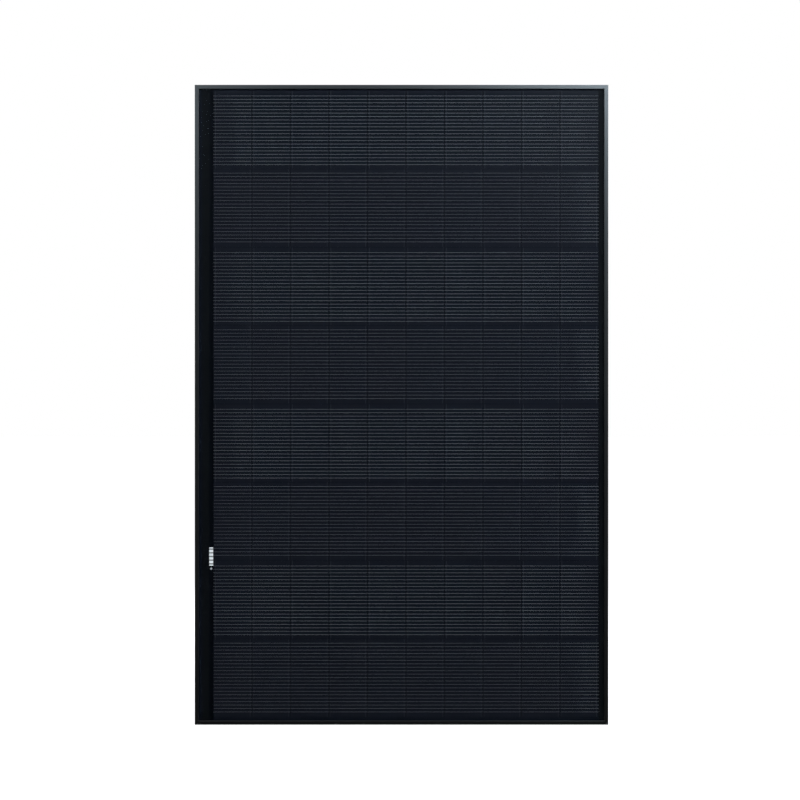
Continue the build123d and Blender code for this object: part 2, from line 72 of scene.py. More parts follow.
# %% Helpers that build a finish
def add_node(tree, kind, inputs=(), **options):
    """Adds a shader node, sets its options, and fills or links its inputs by name or number."""
    made = tree.nodes.new("ShaderNode" + kind)
    for option, value in options.items():
        setattr(made, option, value)
    for socket, value in dict(inputs).items():
        if isinstance(value, bpy.types.NodeSocket):
            tree.links.new(value, made.inputs[socket])
        else:
            made.inputs[socket].default_value = value
    return made


def work_out(tree, operation, *values):
    """The result of one sum, such as MULTIPLY or FRACT, on numbers or sockets."""
    return add_node(tree, "Math", enumerate(values), operation=operation).outputs[0]


def mix_colours(tree, share, first, second):
    """The colour that is first where share is 0 and second where it is 1."""
    mixed = add_node(tree, "Mix", {0: share, 6: first, 7: second}, data_type="RGBA")
    return mixed.outputs[2]


def new_finish(name, **constants):
    """A finish with a Principled shader. Words of a socket's name are joined by underscores."""
    finish = bpy.data.materials.new(name)
    finish.use_nodes = True
    shader = finish.node_tree.nodes["Principled BSDF"]
    for words, value in constants.items():
        shader.inputs[words.replace("_", " ")].default_value = value
    return finish, finish.node_tree, shader


print("helpers ready: add_node, work_out, mix_colours, new_finish")

# %% [markdown]
# No real surface is perfectly even. A noise pattern, measured in the object's own coordinates so that
# it stays put, can be squeezed along one axis to make drawn lines or left round to make grain. The
# next two helpers read it in two ways: as a slight change of colour, and as a slight bump.


# %% Helpers for grain and tone
NOISE_LOW = 0.3
NOISE_HIGH = 0.7


def noise(tree, size, stretch=(1, 1, 1), detail=2.0):
    """A noise pattern whose blobs are about this many metres across, longer where stretch is above 1."""
    place = add_node(tree, "TexCoord").outputs["Object"]
    squeezed = add_node(
        tree, "Mapping", {"Vector": place, "Scale": [1 / amount for amount in stretch]}
    )
    pattern = {"Vector": squeezed.outputs[0], "Scale": 1 / size, "Detail": detail}
    return add_node(tree, "TexNoise", pattern).outputs["Fac"]


def tone(tree, shader, pattern, dark, light):
    """Lets the base colour drift between two colours, following a pattern."""
    limits = {"Value": pattern, "From Min": NOISE_LOW, "From Max": NOISE_HIGH}
    spread = add_node(tree, "MapRange", limits, clamp=True)
    colour = mix_colours(tree, spread.outputs[0], (*dark, 1), (*light, 1))
    tree.links.new(colour, shader.inputs["Base Color"])


def bump(tree, shader, pattern, depth, strength=1.0):
    """Raises the surface by up to this depth in metres, following a pattern."""
    raised = add_node(
        tree, "Bump", {"Strength": strength, "Distance": depth, "Height": pattern}
    )
    tree.links.new(raised.outputs[0], shader.inputs["Normal"])


print("helpers ready: noise, tone, bump")

# %% [markdown]
# ## The frame
# The rails are aluminium pressed through a die and then anodised black. The die leaves fine lines
# along each rail and the dyed layer has a satin sheen, brighter than paint but softer than a mirror.
# The lines run up the side rails and across the end rails, so the finish is made once for each way.


# %% Black anodised aluminium
DIE_LINE = 0.6 * MM
DIE_LINE_DEPTH = 0.004 * MM
DIE_LINE_STRETCH = 400.0
DYED_DARK = (0.0004, 0.0004, 0.0005)
DYED_LIGHT = (0.0009, 0.0010, 0.0011)


def anodised(name, along):
    """Black anodising with die lines along one axis."""
    finish, tree, shader = new_finish(name, Roughness=0.31, IOR=1.9, Metallic=0.0)
    stretch = [1.0, 1.0, 1.0]
    stretch["XYZ".index(along)] = DIE_LINE_STRETCH
    lines = noise(tree, DIE_LINE, stretch, detail=3.0)
    tone(tree, shader, lines, DYED_DARK, DYED_LIGHT)
    bump(tree, shader, lines, DIE_LINE_DEPTH)
    return finish


upright_anodised = anodised("anodised_upright", "Z")
level_anodised = anodised("anodised_level", "X")
print("made", upright_anodised.name, "and", level_anodised.name)

# %% [markdown]
# The CAD solids have knife-sharp edges, but a cut rail has an edge that a finger can feel, and that
# edge is what catches the light. A CAD mesh is loose triangles, so a copy is merged first and its flat
# faces are made whole. A Bevel modifier then softens every edge that turns by more than a set angle.


# %% Soft-edged copies of solids
WELD = 0.002 * MM
FLAT_TURN = 0.5
SHARP_TURN = 35.0
EDGE_ROUNDS = 2


def merged_copy(name):
    """A bmesh of a CAD piece, with shared corners and whole flat faces."""
    body = bmesh.new()
    body.from_mesh(nodes[name].data)
    bmesh.ops.remove_doubles(body, verts=body.verts, dist=WELD)
    bmesh.ops.dissolve_limit(
        body, angle_limit=math.radians(FLAT_TURN), verts=body.verts, edges=body.edges
    )
    return body


def finished_piece(name, body, finishes, stands_for=()):
    """Turns a bmesh into a piece of the panel with its finishes, hung under the root, and hides the
    nodes it stands for.
    """
    mesh = bpy.data.meshes.new(name)
    body.to_mesh(mesh)
    body.free()
    for finish in finishes:
        mesh.materials.append(finish)
    piece = bpy.data.objects.new(name, mesh)
    bpy.context.scene.collection.objects.link(piece)
    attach(piece, "root")
    if stands_for:
        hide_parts(*stands_for)
    return piece


def soft_copy(name, finish, edge):
    """Stands in for a CAD piece with a copy whose sharp edges are rounded by this many metres."""
    piece = finished_piece(f"{name}_finished", merged_copy(name), [finish], [name])
    soften = piece.modifiers.new("softened_edges", "BEVEL")
    soften.width = edge
    soften.segments = EDGE_ROUNDS
    soften.limit_method = "ANGLE"
    soften.angle_limit = math.radians(SHARP_TURN)
    soften.use_clamp_overlap = True
    soften.harden_normals = True


print("helpers ready: merged_copy, finished_piece, soft_copy")

# %% [markdown]
# A sawn and deburred rail has an edge of about a fifth of a millimetre. The side rails take the finish
# whose lines run up, and the end rails the one whose lines run across, so the mitres show a change.

# %% The four rails
RAIL_EDGE = 0.2 * MM

for side in ("left", "right"):
    soft_copy(f"frame_rail_{side}", upright_anodised, RAIL_EDGE)
for side in ("top", "bottom"):
    soft_copy(f"frame_rail_{side}", level_anodised, RAIL_EDGE)
print("softened the four rails")

# %% [markdown]
# ## Inside the corners and around the glass
# A cast or sawn aluminium key is pressed into both rails at each corner, and black silicone holds the
# laminate in its groove. Neither shows much, but both are real pieces, so they get real finishes:
# bare metal with saw marks for the keys, and a soft, slightly uneven black for the silicone.


# %% Bare aluminium and silicone
def dress(finish, *names):
    """Gives carried-over CAD pieces a finish."""
    for name in names:
        nodes[name].data.materials.clear()
        nodes[name].data.materials.append(finish)


bare_metal, tree, shader = new_finish("bare_aluminium", Roughness=0.36, Metallic=1.0)
saw_marks = noise(tree, 0.5 * MM, (1, 60, 1))
tone(tree, shader, saw_marks, (0.5, 0.51, 0.52), (0.66, 0.67, 0.68))
bump(tree, shader, saw_marks, 0.01 * MM)
corners = ("bottom_left", "top_left", "top_right", "bottom_right")
dress(bare_metal, *[f"corner_key_{corner}" for corner in corners])

silicone, tree, shader = new_finish("black_silicone", Roughness=0.55, IOR=1.41)
ripple = noise(tree, 4 * MM)
tone(tree, shader, ripple, (0.008, 0.008, 0.0085), (0.014, 0.014, 0.015))
bump(tree, shader, ripple, 0.05 * MM, 0.5)
rubber_parts = ("edge_seal", "lid_gaskets", "junction_box_glue", "gland_seals", "support_bar_pads")
dress(silicone, *rubber_parts)
print("dressed", len(corners) + len(rubber_parts), "pieces")

# %% [markdown]
# ## The glass
# The pane is one sheet of toughened glass with ground edges, and its front has an anti-reflective
# coating, so it hardly mirrors anything seen from straight ahead. A sheet this thin bends light too
# little to notice, so the front is a mix of a clear shader and a faint mirror, with Fresnel turning
# the mirror up at a slant. The back of the pane is bonded to the film behind it, where next to nothing
# reflects, so those faces are all but clear.


# %% Glass finishes
def see_through(name, tint, gloss_tint, gloss_roughness, ior):
    """A thin clear sheet: straight through, with a mirror that grows at a slant."""
    finish = bpy.data.materials.new(name)
    finish.use_nodes = True
    tree = finish.node_tree
    tree.nodes.remove(tree.nodes["Principled BSDF"])
    clear = add_node(tree, "BsdfTransparent", {"Color": (*tint, 1)})
    mirror = add_node(
        tree, "BsdfGlossy", {"Color": (*gloss_tint, 1), "Roughness": gloss_roughness}
    )
    slant = add_node(tree, "Fresnel", {"IOR": ior})
    both = add_node(
        tree, "MixShader", {0: slant.outputs[0], 1: clear.outputs[0], 2: mirror.outputs[0]}
    )
    tree.links.new(both.outputs[0], tree.nodes["Material Output"].inputs["Surface"])
    return finish, tree, mirror


WHITE = (1, 1, 1)
BLUISH = (0.8, 0.9, 1.0)

coated_glass, tree, mirror = see_through(
    "coated_glass", (0.985, 0.99, 0.988), BLUISH, gloss_roughness=0.08, ior=1.07
)
rolled = noise(tree, 1.2 * MM, detail=1.0)
bump(tree, mirror, rolled, 0.004 * MM, 0.6)
bonded_glass, tree, mirror = see_through(
    "bonded_glass", (0.99, 0.995, 0.993), WHITE, gloss_roughness=0.3, ior=1.01
)
bump(tree, mirror, noise(tree, 6 * MM), 0.01 * MM)
clear_film, tree, mirror = see_through(
    "clear_film", (0.99, 0.99, 0.99), WHITE, gloss_roughness=0.4, ior=1.01
)
bump(tree, mirror, noise(tree, 9 * MM), 0.02 * MM)
print("made", coated_glass.name, bonded_glass.name, "and", clear_film.name)

# %% [markdown]
# The pane itself is a cube stretched to the size of the CAD glass, and its ground edge is a bevel. Its
# rear faces, the ones whose normals point along +Y, take the bonded finish.


# %% Glass pane
GLASS_ARRIS = 0.5 * MM
FACES_A_WAY = 0.9


def block(low, high):
    """A bmesh box between two corners."""
    body = bmesh.new()
    stretch = Matrix.Translation((low + high) / 2) @ Matrix.Diagonal((*(high - low), 1.0))
    bmesh.ops.create_cube(body, size=1.0, matrix=stretch)
    return body


pane = block(*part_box("front_glass"))
bmesh.ops.bevel(
    pane,
    geom=pane.edges[:],
    offset=GLASS_ARRIS,
    affect="EDGES",
    segments=3,
    profile=0.5,
    material=-1,
)
for face in pane.faces:
    face.material_index = int(face.normal.y > FACES_A_WAY)
glass = finished_piece(
    "glass_pane", pane, [coated_glass, bonded_glass], ["front_glass"]
)
print("glass pane faces:", len(glass.data.polygons))

# %% [markdown]
# Two sheets of clear film lie behind the pane, before and behind the cells. They melt into one block
# round the cells when the panel is pressed, so they are remade as one thin block, a hair smaller than
# the space it fills, so that its faces never share a plane with the glass or the backsheet. Neither
# clear piece casts a shadow on what lies under it.

# %% Melted film
FILM_GAP = 0.01 * MM

film_low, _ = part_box("front_encapsulant")
_, film_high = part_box("rear_encapsulant")
gap = Vector((FILM_GAP, FILM_GAP, FILM_GAP))
melted = finished_piece(
    "melted_film",
    block(film_low + gap, film_high - gap),
    [clear_film],
    ["front_encapsulant", "rear_encapsulant"],
)
for clear_piece in (glass, melted):
    clear_piece.visible_shadow = False
print(f"film {(film_high.y - film_low.y) / MM:.2f} mm thick")

# %% [markdown]
# ## The cells
# A half cell is a slice of dark blue-black silicon. Fine silver fingers are printed up it, too thin to
# make out from a few steps away, and they stop just short of its edges. Cells vary a little from one
# to the next. The finish works out which cell a point belongs to from its place, picks that cell's
# tint with white noise, and draws fingers and a plain border from the distances to the cell's edges.
# Every second row is turned round, and its seams lie one overlap further left. First the pitches of
# rows and seams are measured from the solids.

# %% Where the cells lie
STRINGS = 8
CELL_LENGTH = 105 * MM
CELL_HEIGHT = 210 * MM

first_low, first_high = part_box("cell_string_1")
_, last_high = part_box(f"cell_string_{STRINGS}")
cells_in_row = round((first_high.x - first_low.x) / CELL_LENGTH)
cell_pitch = (first_high.x - first_low.x - CELL_LENGTH) / (cells_in_row - 1)
row_pitch = (first_high.z - last_high.z) / (STRINGS - 1)
row_gap = row_pitch - CELL_HEIGHT
overlap = CELL_LENGTH - cell_pitch
print(f"{cells_in_row} cells a row, {cell_pitch:.4f} m apart; rows {row_pitch:.4f} m apart")

# %% [markdown]
# The Object coordinates of a point, divided by the pitches, say which row and which cell it is in: the
# whole part of each quotient is a number, and the rest is the place inside the cell. The two numbers
# feed a white noise, which gives every cell its own lot.

# %% Which cell a point is in
silicon, tree, shader = new_finish("cell_silicon", Roughness=0.35, Specular_IOR_Level=0.06)
place = add_node(tree, "TexCoord").outputs["Object"]
axes = add_node(tree, "SeparateXYZ", {0: place}).outputs

down = work_out(tree, "SUBTRACT", first_high.z + row_gap / 2, axes["Z"])
rows_down = work_out(tree, "DIVIDE", down, row_pitch)
row = work_out(tree, "FLOOR", rows_down)
turned = work_out(tree, "PINGPONG", row, 1.0)
seam_shift = work_out(tree, "MULTIPLY", work_out(tree, "SUBTRACT", 1.0, turned), overlap)
along = work_out(tree, "SUBTRACT", work_out(tree, "SUBTRACT", axes["X"], first_low.x), seam_shift)
cells_along = work_out(tree, "DIVIDE", along, cell_pitch)
cell = work_out(tree, "FLOOR", cells_along)

place_in_order = add_node(tree, "CombineXYZ", {0: cell, 1: row}).outputs[0]
lot = add_node(tree, "TexWhiteNoise", {"Vector": place_in_order}, noise_dimensions="2D")
cell_lot = add_node(tree, "SeparateXYZ", {0: lot.outputs["Color"]}).outputs
print("a point's cell is found by", len(tree.nodes), "nodes")

# %% [markdown]
# The distance to the nearest edge comes from a ping-pong: a value that climbs to the middle of the
# cell and falls again. A Map Range with smooth ends turns a distance into a soft-edged mask, and one
# more helper makes a line from it: 1 in the middle, 0 beyond its half width.


# %% Borders and fingers
FINGER_PITCH = 1.45 * MM
FINGER_WIDTH = 0.16 * MM
BARE_BORDER = 1.2 * MM
BARE_END = 0.3 * MM
BORDER_START = 0.6
LINE_CORE = 0.3


def soft_step(tree, value, start, end):
    """0 before start, 1 after end, and smooth between."""
    made = add_node(
        tree,
        "MapRange",
        {"Value": value, "From Min": start, "From Max": end},
        interpolation_type="SMOOTHSTEP",
    )
    return made.outputs[0]


def line(tree, distance, half_width, core=LINE_CORE):
    """1 within the core of a line, 0 beyond its half width."""
    outside = soft_step(tree, distance, core * half_width, half_width)
    return work_out(tree, "SUBTRACT", 1.0, outside)


to_side = work_out(tree, "MULTIPLY", work_out(tree, "PINGPONG", cells_along, 0.5), cell_pitch)
to_end = work_out(tree, "MULTIPLY", work_out(tree, "PINGPONG", rows_down, 0.5), row_pitch)
to_end = work_out(tree, "SUBTRACT", to_end, row_gap / 2)
inside = soft_step(tree, to_side, BORDER_START * BARE_BORDER, BARE_BORDER)
printed = work_out(tree, "MULTIPLY", inside, soft_step(tree, to_end, 0.0, BARE_END))

from_finger = work_out(tree, "PINGPONG", along, FINGER_PITCH / 2)
finger = work_out(tree, "MULTIPLY", line(tree, from_finger, FINGER_WIDTH, core=0.0), printed)
print("fingers on a cell:", round(CELL_LENGTH / FINGER_PITCH))

# %% [markdown]
# Silicon under its blue coating is nearly black. Two tints are mixed by the cell's first number, a
# third by its second, and a slow cloud drifts over them all, so no two cells are quite alike.

# %% Silicon tints
WARM_SILICON = (0.0037, 0.0044, 0.0080, 1)
GREY_SILICON = (0.0042, 0.0047, 0.0074, 1)
COOL_SILICON = (0.0033, 0.0048, 0.0083, 1)
CLOUD_SILICON = (0.0040, 0.0048, 0.0081, 1)
BARE_SILICON = (0.0010, 0.0013, 0.0027, 1)
FINGER_SILVER = (0.0135, 0.0145, 0.0195, 1)
CLOUD = 60 * MM

warm = mix_colours(tree, cell_lot[0], WARM_SILICON, GREY_SILICON)
tint = mix_colours(tree, cell_lot[1], warm, COOL_SILICON)
tint = mix_colours(tree, noise(tree, CLOUD), tint, CLOUD_SILICON)
bordered = mix_colours(tree, printed, BARE_SILICON, tint)
fingered = mix_colours(tree, finger, bordered, FINGER_SILVER)
print("tints mixed for", cells_in_row * STRINGS, "cells")

# %% [markdown]
# A broader silver line is printed under every wire, for the wire to be soldered to. The places of the
# wires are measured from the CAD wires, so the lines lie exactly beneath them, and a turned row has
# its wires the other way off the middle.

# %% Silver lines under the wires
WIRES = 21
WIRE_WIDTH = 0.26 * MM
LINE_HALF = 0.55 * MM

wire_low, wire_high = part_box("wire_string_1")
wire_pitch = (wire_high.z - wire_low.z - WIRE_WIDTH) / (WIRES - 1)
wire_shift = (first_low.z + first_high.z - wire_low.z - wire_high.z) / 2
print(f"wires {wire_pitch / MM:.2f} mm apart, {wire_shift / MM:.2f} mm off the middle")

from_top = work_out(tree, "FRACT", rows_down)
from_middle = work_out(tree, "MULTIPLY", work_out(tree, "SUBTRACT", 0.5, from_top), row_pitch)
way = work_out(tree, "MULTIPLY_ADD", turned, -2.0, 1.0)
offset = work_out(tree, "MULTIPLY_ADD", way, wire_shift, from_middle)
to_wire = work_out(tree, "PINGPONG", offset, wire_pitch / 2)
from_wires = work_out(tree, "ABSOLUTE", offset)
in_span = work_out(tree, "LESS_THAN", from_wires, wire_pitch * WIRES / 2)
on_cell = work_out(tree, "MULTIPLY", in_span, inside)
solder_line = work_out(tree, "MULTIPLY", line(tree, to_wire, LINE_HALF), on_cell)

# %% [markdown]
# One more line runs down each cell beside its seams. It is strong on the side where the wires come up
# from under the neighbour and faint on the other, and the turned rows have it the other way round.
# With that, the colour is complete and goes to the shader, with a very fine bump for the etched face.

# %% Seam lines, and the finished silicon
SEAM_LINE_FROM = 4.6 * MM
SEAM_LINE_HALF = 0.95 * MM
FAINT_SIDE = 0.3
SEAM_SILVER = (0.024, 0.026, 0.032, 1)
LINE_SILVER = (0.020, 0.0215, 0.0275, 1)

to_line = work_out(tree, "ABSOLUTE", work_out(tree, "SUBTRACT", to_side, SEAM_LINE_FROM))
near_start = work_out(tree, "LESS_THAN", work_out(tree, "FRACT", cells_along), 0.5)
strong = work_out(tree, "ABSOLUTE", work_out(tree, "SUBTRACT", near_start, turned))
strong = work_out(tree, "MULTIPLY_ADD", strong, 1.0 - FAINT_SIDE, FAINT_SIDE)
seam_line = work_out(tree, "MULTIPLY", line(tree, to_line, SEAM_LINE_HALF), strong)

lined = mix_colours(tree, seam_line, fingered, SEAM_SILVER)
lined = mix_colours(tree, solder_line, lined, LINE_SILVER)
tree.links.new(lined, shader.inputs["Base Color"])
bump(tree, shader, noise(tree, 0.05 * MM), 0.002 * MM, 0.5)
dress(silicon, *[f"cell_string_{number}" for number in range(1, STRINGS + 1)])
print("cells dressed:", cells_in_row * STRINGS)

# %% [markdown]
# ## The wires
# Round tinned wires a quarter of a millimetre thick run across each row, behind one cell and in front
# of the next. Tin from a solder bath is dull, so the shader is metallic but rough, and a noise that is
# stretched along the wire lets its tone drift. The flat ribbons that join the rows and the plates in
# the junction boxes are tinned too, so they share the finish.

# %% Tinned wire
tinned, tree, shader = new_finish("tinned_copper", Roughness=0.5, Metallic=1.0)
solder = noise(tree, 1.5 * MM, (8, 1, 1))
tone(tree, shader, solder, (0.46, 0.47, 0.49), (0.56, 0.57, 0.58))
bump(tree, shader, solder, 0.004 * MM, 0.3)
dress(tinned, "bus_ribbons_left", "bus_ribbons_right", "terminal_plates")
print("made", tinned.name)

# %% [markdown]
# The wires' round section matters: it is what turns light from above into a thin bright line. The CAD
# wires are square bars, so each is measured and remade as a cylinder with few sides, because there are
# nearly two thousand of them. First they are measured. A bar is one island of joined corners, and the
# middles of its ends come from the left and the right halves of its corners.


# %% Measure the bars
def separate_bars(body):
    """The corners of each separate solid in a bmesh, as lists of points."""
    waiting = set(body.verts)
    bars = []
    while waiting:
        reached = [waiting.pop()]
        for vert in reached:
            for edge in vert.link_edges:
                other = edge.other_vert(vert)
                if other in waiting:
                    waiting.remove(other)
                    reached.append(other)
        bars.append([vert.co.copy() for vert in reached])
    return sorted(bars, key=lambda points: tuple(round(part, 6) for part in min(points, key=tuple)))


def bar_ends(points):
    """The middles of a long bar's two end faces."""
    by_x = sorted(points, key=lambda point: point.x)
    half = len(by_x) // 2
    return sum(by_x[:half], Vector()) / half, sum(by_x[half:], Vector()) / half


sample = merged_copy("wire_string_1")
print("bars in the first row:", len(separate_bars(sample)))
sample.free()

# %% [markdown]
# Blender's cone tool makes a cylinder when both its radii are the same. It stands upright at first, so
# it is turned until its own Z runs from one end of the bar to the other. The round sides are shaded
# smooth and the ends flat. All the wires of a row stay one piece, as they are one node in the CAD.


# %% Remake the bars round
WIRE_SIDES = 8
SIDE_CORNERS = 4


def round_wires(name, finish):
    """Stands in for a CAD wire set with one round wire for each square bar, and counts them."""
    squares = merged_copy(name)
    bars = separate_bars(squares)
    squares.free()
    wires = bmesh.new()
    for points in bars:
        start, end = bar_ends(points)
        width = max(point.z for point in points) - min(point.z for point in points)
        turn = (end - start).to_track_quat("Z", "Y").to_matrix().to_4x4()
        bmesh.ops.create_cone(
            wires,
            cap_ends=True,
            segments=WIRE_SIDES,
            radius1=width / 2,
            radius2=width / 2,
            depth=(end - start).length,
            matrix=Matrix.Translation((start + end) / 2) @ turn,
        )
    for face in wires.faces:
        face.smooth = len(face.verts) == SIDE_CORNERS
    finished_piece(f"{name}_round", wires, [finish], [name])
    return len(bars)


total = 0
for number in range(1, STRINGS + 1):
    total += round_wires(f"wire_string_{number}", tinned)
print("round wires:", total)

# %% [markdown]
# ## Behind the cells
# The laminate's back is a black polymer sheet with a fine grain, and narrow films of the same family
# hide the bright ribbons at both sides. They are not quite the same black, which is how they can be
# told apart through the glass. A face that is bonded to clear film has lost nearly all its shine,
# because light no longer passes from air into it, so the sheet's inside and outside differ.


# %% Backsheet and cover films
def black_film(name, dark, light, shine):
    """A matt polymer film with a fine grain."""
    finish, tree, shader = new_finish(name, Roughness=0.48, Specular_IOR_Level=shine)
    tone(tree, shader, noise(tree, 25 * MM), dark, light)
    bump(tree, shader, noise(tree, 0.35 * MM, detail=4.0), 0.01 * MM, 0.5)
    return finish


BONDED = 0.04
IN_AIR = 0.5
outer_black = black_film("backsheet_outside", (0.009, 0.0094, 0.0102), (0.013, 0.0134, 0.0144), IN_AIR)
inner_black = black_film("backsheet_inside", (0.0030, 0.0043, 0.0078), (0.0036, 0.0050, 0.0086), BONDED)
ribbon_cover = black_film("ribbon_cover", (0.0020, 0.0026, 0.0034), (0.0025, 0.0033, 0.0042), BONDED)
lead_cover = black_film("lead_cover", (0.0004, 0.0009, 0.0022), (0.0006, 0.0013, 0.0028), BONDED)

sheet = merged_copy("backsheet")
for face in sheet.faces:
    face.material_index = int(face.normal.y < -FACES_A_WAY)
backsheet = finished_piece(
    "backsheet_finished", sheet, [outer_black, inner_black], ["backsheet"]
)
dress(ribbon_cover, "bus_cover_strip_left", "bus_cover_strip_right")
dress(lead_cover, "lead_cover_strip")
print("backsheet faces:", len(backsheet.data.polygons))

# %% [markdown]
# ## Labels
# A narrow white label lies under the glass beside the cells, printed with plain bars, and a small grey
# dot marks the inspection. The bars stand in for a printed code and mean nothing. They are evenly
# spaced up the label, so a ping-pong draws them from one number: how far up the label a point lies.
# The larger label on the back is left blank apart from ruled lines.


# %% Banded label
LABEL_BARS = 5
BAR_SHARE = 0.4
PAPER_GREY = 0.6
INK_GREY = 0.15
PAPER_SHADE = 0.94
PAPER_SPREAD = 0.08
SLIGHTLY_BLUE = 1.03


def printed_bands(name, node_name, roughness):
    """A pale label with level bars, evenly spaced and with paper at both ends."""
    low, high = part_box(node_name)
    finish, tree, shader = new_finish(name, Roughness=roughness)
    place = add_node(tree, "TexCoord").outputs["Object"]
    height = add_node(tree, "SeparateXYZ", {0: place}).outputs["Z"]
    share = add_node(
        tree, "MapRange", {"Value": height, "From Min": low.z, "From Max": high.z}
    ).outputs[0]
    steps_up = work_out(tree, "MULTIPLY", share, LABEL_BARS)
    from_gap = work_out(tree, "PINGPONG", steps_up, 0.5)
    bar = work_out(tree, "GREATER_THAN", from_gap, 0.5 - BAR_SHARE / 2)
    paper_colour = (PAPER_GREY, PAPER_GREY, PAPER_GREY * SLIGHTLY_BLUE, 1)
    ink_colour = (INK_GREY, INK_GREY, INK_GREY * SLIGHTLY_BLUE, 1)
    printed_colour = mix_colours(tree, bar, paper_colour, ink_colour)
    paper = noise(tree, 0.8 * MM)
    aged = work_out(tree, "MULTIPLY_ADD", paper, PAPER_SPREAD, PAPER_SHADE)
    worn = add_node(tree, "VectorMath", {0: printed_colour, 1: aged}, operation="MULTIPLY")
    tree.links.new(worn.outputs[0], shader.inputs["Base Color"])
    return finish


dress(printed_bands("banded_label", "serial_label", 0.5), "serial_label")
print("bars on the label:", LABEL_BARS)

# %% [markdown]
# The dot and the blank back label need only a little unevenness: ink soaks in at its edge, and a satin
# foil shows faint rolling lines.

# %% Ink dot and foil label
ink, tree, shader = new_finish("grey_ink", Roughness=0.6)
tone(tree, shader, noise(tree, 1.2 * MM), (0.16, 0.17, 0.18), (0.3, 0.31, 0.32))
dress(ink, "inspection_dot")

FOIL_RULES = 9
RULE_SHARE = 0.12
HALF_WIDTH_SHARE = 0.42
HALF_HEIGHT_SHARE = 0.38
low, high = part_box("rating_label")
foil, tree, shader = new_finish("satin_foil", Roughness=0.38, Metallic=0.6)
place = add_node(tree, "TexCoord").outputs["Object"]
axes = add_node(tree, "SeparateXYZ", {0: place}).outputs
centre = (low + high) / 2
from_side = work_out(tree, "SUBTRACT", axes["X"], centre.x)
from_side = work_out(tree, "ABSOLUTE", from_side)
in_width = work_out(tree, "LESS_THAN", from_side, HALF_WIDTH_SHARE * (high.x - low.x))
from_middle = work_out(tree, "SUBTRACT", axes["Z"], centre.z)
from_level = work_out(tree, "ABSOLUTE", from_middle)
in_height = work_out(tree, "LESS_THAN", from_level, HALF_HEIGHT_SHARE * (high.z - low.z))
rule = work_out(tree, "DIVIDE", from_middle, (high.z - low.z) / FOIL_RULES)
rule = work_out(tree, "LESS_THAN", work_out(tree, "FRACT", rule), RULE_SHARE)
rule = work_out(tree, "MULTIPLY", work_out(tree, "MULTIPLY", rule, in_width), in_height)
rolling = noise(tree, 0.8 * MM, (40, 1, 1))
satin = mix_colours(tree, rolling, (0.42, 0.43, 0.44, 1), (0.5, 0.51, 0.52, 1))
tree.links.new(
    mix_colours(tree, rule, satin, (0.08, 0.08, 0.085, 1)), shader.inputs["Base Color"]
)
dress(foil, "rating_label")
print("labels dressed")

# %% [markdown]
# ## Junction boxes, glands, bars and rivets
# The boxes on the back are moulded in black plastic with a spark-eroded texture that breaks up the
# shine. Their mouldings have small rounded edges, so they are soft copies like the rails.

# %% Mouldings
BOXES = 4
BASE_EDGE = 0.3 * MM
LID_EDGE = 0.25 * MM
NUT_EDGE = 0.4 * MM

moulding, tree, shader = new_finish("black_moulding", Roughness=0.48, IOR=1.5)
sparks = noise(tree, 0.4 * MM, detail=3.0)
tone(tree, shader, sparks, (0.011, 0.0112, 0.012), (0.019, 0.0193, 0.0205))
bump(tree, shader, sparks, 0.03 * MM, 0.6)
for number in range(1, BOXES + 1):
    soft_copy(f"junction_box_{number}_base", moulding, BASE_EDGE)
    soft_copy(f"junction_box_{number}_lid", moulding, LID_EDGE)
soft_copy("gland_nuts", moulding, NUT_EDGE)
print("softened", BOXES, "boxes with their lids, and the gland nuts")

# %% [markdown]
# The diodes inside the boxes are pressed from a smoother resin. The rivets that hold the support bars
# carry a thin black coating, glossy at the crown, and the bars are black anodised like the end rails,
# with the rounder edges of a drawn tube.

# %% Diodes, rivets and support bars
BAR_EDGE = 0.4 * MM

diode_body, tree, shader = new_finish("diode_moulding", Roughness=0.3, IOR=1.55)
tone(tree, shader, noise(tree, 1.5 * MM), (0.02, 0.02, 0.021), (0.035, 0.035, 0.037))
dress(diode_body, *[f"bypass_diode_{number}" for number in range(1, BOXES + 1)])

coated_rivet, tree, shader = new_finish("coated_rivet", Roughness=0.3, IOR=1.6)
speckle = noise(tree, 0.7 * MM)
tone(tree, shader, speckle, (0.012, 0.012, 0.013), (0.03, 0.03, 0.032))
bump(tree, shader, speckle, 0.02 * MM, 0.4)
dress(coated_rivet, "support_bar_rivets")

for level in ("upper", "lower"):
    soft_copy(f"support_bar_{level}", level_anodised, BAR_EDGE)
print("diodes, rivets and bars done")

# %% [markdown]
# ## The studio
# The panel stands on a plain pale floor in front of a plain pale backdrop. Black glass mirrors
# whatever stands in front of it, so in a studio that side of the room is kept dark, and the light
# comes from above and from the sides. The world does the same here: the camera sees it white, while
# everything else sees a dim room that brightens overhead and behind the panel.

# %% Backdrop and room light
ROOM_DIM = 0.008
ROOM_OVERHEAD = 0.35
OVERHEAD_FROM = 0.3
OVERHEAD_FULL = 1.0
ROOM_BEHIND = 0.55
BEHIND_FROM = 0.1
BEHIND_FULL = 0.9

